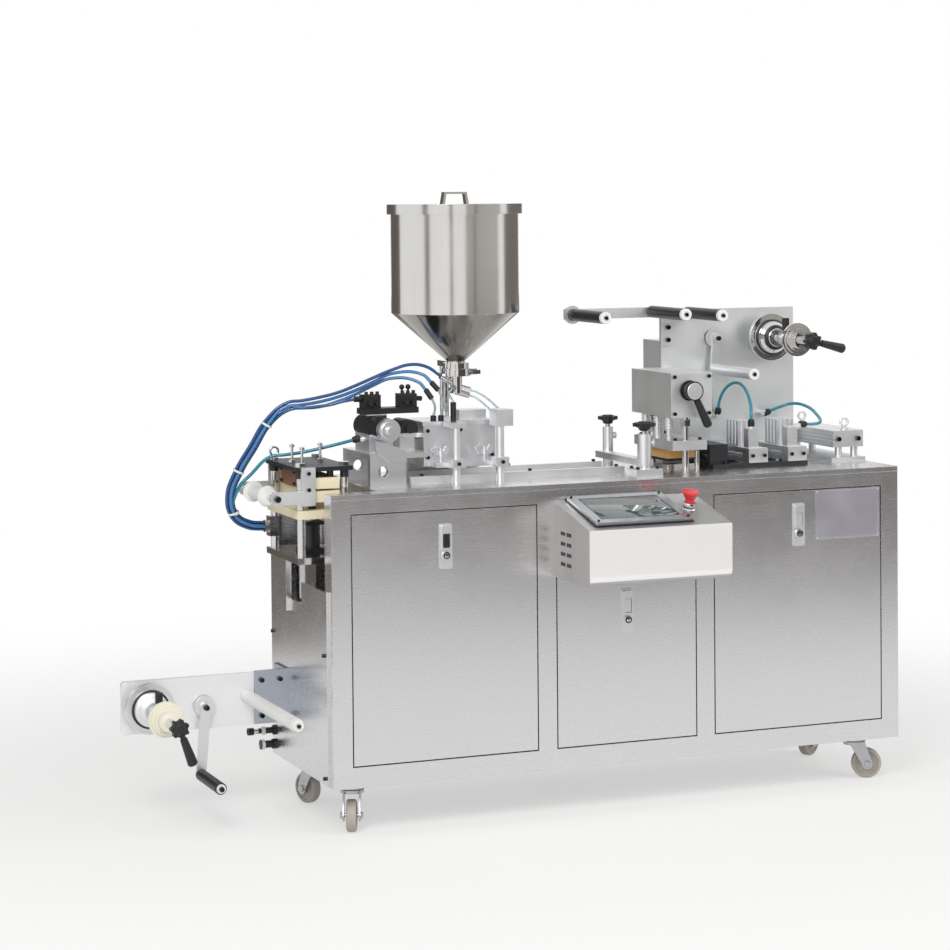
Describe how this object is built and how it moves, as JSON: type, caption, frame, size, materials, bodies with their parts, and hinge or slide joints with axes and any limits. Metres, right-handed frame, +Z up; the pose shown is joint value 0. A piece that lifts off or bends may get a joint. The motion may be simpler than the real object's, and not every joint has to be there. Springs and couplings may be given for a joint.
{
  "type": "blister packing machine",
  "caption": "Stainless flat plate blister packing machine on swivel casters with film and foil reels, forming, filling, sealing, traction and punching stations and a side control box.",
  "frame": {"origin": "centre of the overall box on the floor", "axes": "+X along the machine from the film reel to the punching end, -Y the side with doors and control box, +Z up"},
  "size_m": [1.908, 0.658, 1.489],
  "materials": {
    "brushed_steel": "brushed stainless sheet",
    "polished_steel": "polished stainless",
    "satin_aluminium": "fine satin",
    "dark_anodised": "dark anodised",
    "black_plastic": "moulded black",
    "white_plastic": "turned white nylon",
    "insulation_board": "pressed insulation board",
    "brown_laminate": "brown phenolic laminate",
    "red_plastic": "moulded red",
    "screen": "dark display face",
    "zinc_steel": "zinc plated",
    "grey_wheel": "grey polyurethane",
    "air_tube": "blue polyurethane tube",
    "feed_tube": "clear tube",
    "tan_insulation": "tan heat insulation board"
  },
  "bodies": {
    "machine": {"cabinet": "brushed_steel", "table_plate": "brushed_steel", "doors": "brushed_steel", "door_latches": "black_plastic", "end_panel": "brushed_steel", "caster_plates": "zinc_steel", "control_box": "brushed_steel", "screen_panel": "screen", "film_bracket": "satin_aluminium", "air_filter": "black_plastic", "forming_frame": "polished_steel", "forming_head": "insulation_board", "heater_cover": "brown_laminate", "forming_cylinder": "dark_anodised", "guide_bracket": "satin_aluminium", "tank": "polished_steel", "tank_lid": "polished_steel", "tank_outlet": "polished_steel", "tank_stand": "polished_steel", "filler_block": "polished_steel", "filler_columns": "polished_steel", "filler_drive": "dark_anodised", "filler_valves": "black_plastic", "film_track": "satin_aluminium", "foil_stand": "satin_aluminium", "seal_housing": "brushed_steel", "seal_columns": "polished_steel", "adjust_bridge": "satin_aluminium", "grip_rails": "dark_anodised", "holding_grip": "satin_aluminium", "punch_die": "satin_aluminium", "air_tubes": "air_tube", "feed_tubes": "feed_tube"},
    "caster_fl": {"fork_fl": "zinc_steel"},
    "caster_fl_wheel": {"wheel_fl": "grey_wheel"},
    "caster_fr": {"fork_fr": "zinc_steel"},
    "caster_fr_wheel": {"wheel_fr": "grey_wheel"},
    "caster_rl": {"fork_rl": "zinc_steel"},
    "caster_rl_wheel": {"wheel_rl": "grey_wheel"},
    "caster_rr": {"fork_rr": "zinc_steel"},
    "caster_rr_wheel": {"wheel_rr": "grey_wheel"},
    "film_spindle": {"film_reel": "satin_aluminium", "film_reel_grips": "black_plastic"},
    "foil_spindle": {"foil_reel": "satin_aluminium", "foil_reel_grips": "black_plastic"},
    "film_dancer_arm": {"film_dancer": "dark_anodised"},
    "foil_dancer_arm": {"foil_dancer": "dark_anodised"},
    "film_guide": {"film_guide_roller": "white_plastic"},
    "flanged_roller": {"guide_roller": "white_plastic"},
    "foil_idler_1": {"foil_roller_1": "dark_anodised"},
    "foil_idler_2": {"foil_roller_2": "dark_anodised"},
    "foil_idler_3": {"foil_roller_3": "dark_anodised"},
    "seal_handle": {"seal_lever": "black_plastic"},
    "stop_button": {"emergency_stop": "red_plastic"},
    "forming_ram": {"forming_mould": "insulation_board"},
    "sealing_ram": {"seal_press": "satin_aluminium", "seal_insulation": "tan_insulation"},
    "traction_carriage": {"traction_grip": "satin_aluminium"},
    "front_knob": {"knob_front": "black_plastic"},
    "rear_knob": {"knob_rear": "black_plastic"}
  },
  "joints": [
    {"name": "caster_fl_swivel", "type": "hinge", "parent": "machine", "child": "caster_fl", "pos_m": [-0.464, -0.031, 0.095], "axis": [0, 0, 1], "continuous": true},
    {"name": "caster_fl_roll", "type": "hinge", "parent": "caster_fl", "child": "caster_fl_wheel", "pos_m": [-0.47524, -0.05882, 0.0375], "axis": [0.9272, -0.3746, 0], "continuous": true},
    {"name": "caster_fr_swivel", "type": "hinge", "parent": "machine", "child": "caster_fr", "pos_m": [0.879, -0.031, 0.095], "axis": [0, 0, 1], "continuous": true},
    {"name": "caster_fr_roll", "type": "hinge", "parent": "caster_fr", "child": "caster_fr_wheel", "pos_m": [0.90682, -0.04224, 0.0375], "axis": [0.3746, 0.9272, 0], "continuous": true},
    {"name": "caster_rl_swivel", "type": "hinge", "parent": "machine", "child": "caster_rl", "pos_m": [-0.464, 0.239, 0.095], "axis": [0, 0, 1], "continuous": true},
    {"name": "caster_rl_roll", "type": "hinge", "parent": "caster_rl", "child": "caster_rl_wheel", "pos_m": [-0.47524, 0.26682, 0.0375], "axis": [-0.9272, -0.3746, 0], "continuous": true},
    {"name": "caster_rr_swivel", "type": "hinge", "parent": "machine", "child": "caster_rr", "pos_m": [0.879, 0.239, 0.095], "axis": [0, 0, 1], "continuous": true},
    {"name": "caster_rr_roll", "type": "hinge", "parent": "caster_rr", "child": "caster_rr_wheel", "pos_m": [0.90498, 0.254, 0.0375], "axis": [-0.5, 0.866, 0], "continuous": true},
    {"name": "film_reel_spin", "type": "hinge", "parent": "machine", "child": "film_spindle", "pos_m": [-0.893, 0.101, 0.279], "axis": [0, 1, 0], "continuous": true},
    {"name": "foil_reel_spin", "type": "hinge", "parent": "machine", "child": "foil_spindle", "pos_m": [0.757, 0.101, 1.109], "axis": [0, 1, 0], "continuous": true},
    {"name": "film_dancer_swing", "type": "hinge", "parent": "machine", "child": "film_dancer_arm", "pos_m": [-0.753, 0.101, 0.269], "axis": [0, 1, 0], "range_deg": [-25, 25]},
    {"name": "foil_dancer_swing", "type": "hinge", "parent": "machine", "child": "foil_dancer_arm", "pos_m": [0.615, 0.101, 1.109], "axis": [0, 1, 0], "range_deg": [-20, 20]},
    {"name": "film_guide_roll", "type": "hinge", "parent": "machine", "child": "film_guide", "pos_m": [-0.646, 0.101, 0.285], "axis": [0, 1, 0], "continuous": true},
    {"name": "flanged_roller_roll", "type": "hinge", "parent": "machine", "child": "flanged_roller", "pos_m": [-0.639, 0.101, 0.782], "axis": [0, 1, 0], "continuous": true},
    {"name": "foil_roller_1_roll", "type": "hinge", "parent": "machine", "child": "foil_idler_1", "pos_m": [0.218, 0.101, 1.178], "axis": [0, 1, 0], "continuous": true},
    {"name": "foil_roller_2_roll", "type": "hinge", "parent": "machine", "child": "foil_idler_2", "pos_m": [0.436, 0.101, 1.181], "axis": [0, 1, 0], "continuous": true},
    {"name": "foil_roller_3_roll", "type": "hinge", "parent": "machine", "child": "foil_idler_3", "pos_m": [0.537, 0.101, 1.176], "axis": [0, 1, 0], "continuous": true},
    {"name": "seal_lever_turn", "type": "hinge", "parent": "machine", "child": "seal_handle", "pos_m": [0.431, -0.008, 0.995], "axis": [0, 1, 0], "range_deg": [-100, 0]},
    {"name": "emergency_stop_press", "type": "slide", "parent": "machine", "child": "stop_button", "axis": [0, 0.2381, -0.9712], "range_m": [0, 0.004], "stiffness_N_per_m": 800},
    {"name": "forming_lift", "type": "slide", "parent": "machine", "child": "forming_ram", "axis": [0, 0, 1], "range_m": [-0.012, 0]},
    {"name": "sealing_lift", "type": "slide", "parent": "machine", "child": "sealing_ram", "axis": [0, 0, 1], "range_m": [0, 0.02]},
    {"name": "traction_feed", "type": "slide", "parent": "machine", "child": "traction_carriage", "axis": [1, 0, 0], "range_m": [-0.04, 0.03]},
    {"name": "front_knob_turn", "type": "hinge", "parent": "machine", "child": "front_knob", "pos_m": [0.284, -0.061, 0.894], "axis": [0, 0, 1], "continuous": true},
    {"name": "rear_knob_turn", "type": "hinge", "parent": "machine", "child": "rear_knob", "pos_m": [0.313, 0.214, 0.904], "axis": [0, 0, 1], "continuous": true}
  ]
}
